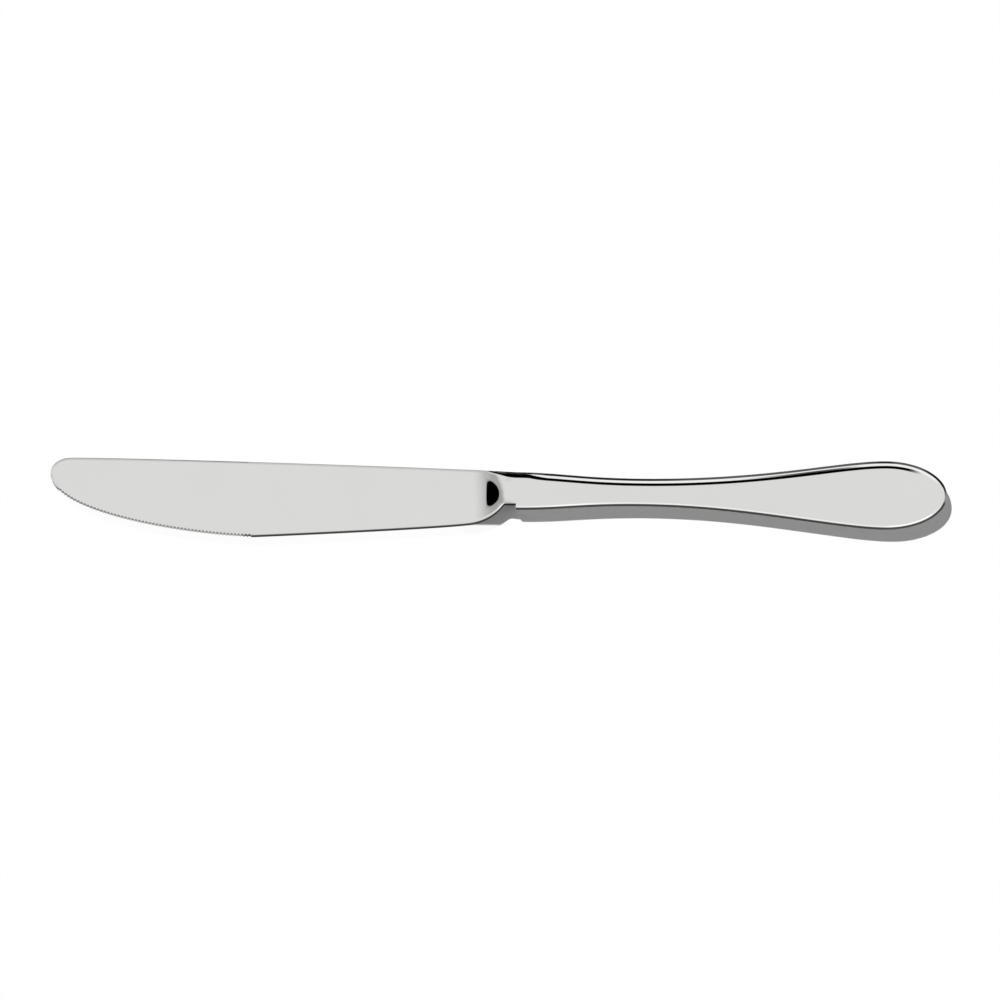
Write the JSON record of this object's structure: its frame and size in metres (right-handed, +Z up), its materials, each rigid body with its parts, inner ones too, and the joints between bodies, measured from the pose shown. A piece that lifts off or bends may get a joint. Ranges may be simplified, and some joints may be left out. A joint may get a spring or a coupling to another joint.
{
  "type": "dessert knife",
  "caption": "Polished dessert knife: rounded blade with a finely toothed edge, scooped bolster and a hollow teardrop handle of two brazed half shells.",
  "frame": {"origin": "centre of the knife's outline seen from above, on the surface that it lies on", "axes": "+X along the knife from the blade's tip to the handle's end, +Y towards the spine, +Z up out of the flat of the blade"},
  "size_m": [0.205, 0.019, 0.005],
  "materials": {
    "blade_steel": "polished",
    "handle_steel": "polished",
    "brazing_filler": "satin",
    "handle_cement": "matte"
  },
  "bodies": {
    "root": {"blade": "blade_steel", "handle_top_shell": "handle_steel", "handle_bottom_shell": "handle_steel", "seam_braze": "brazing_filler", "tang_cement": "handle_cement"}
  },
  "joints": []
}
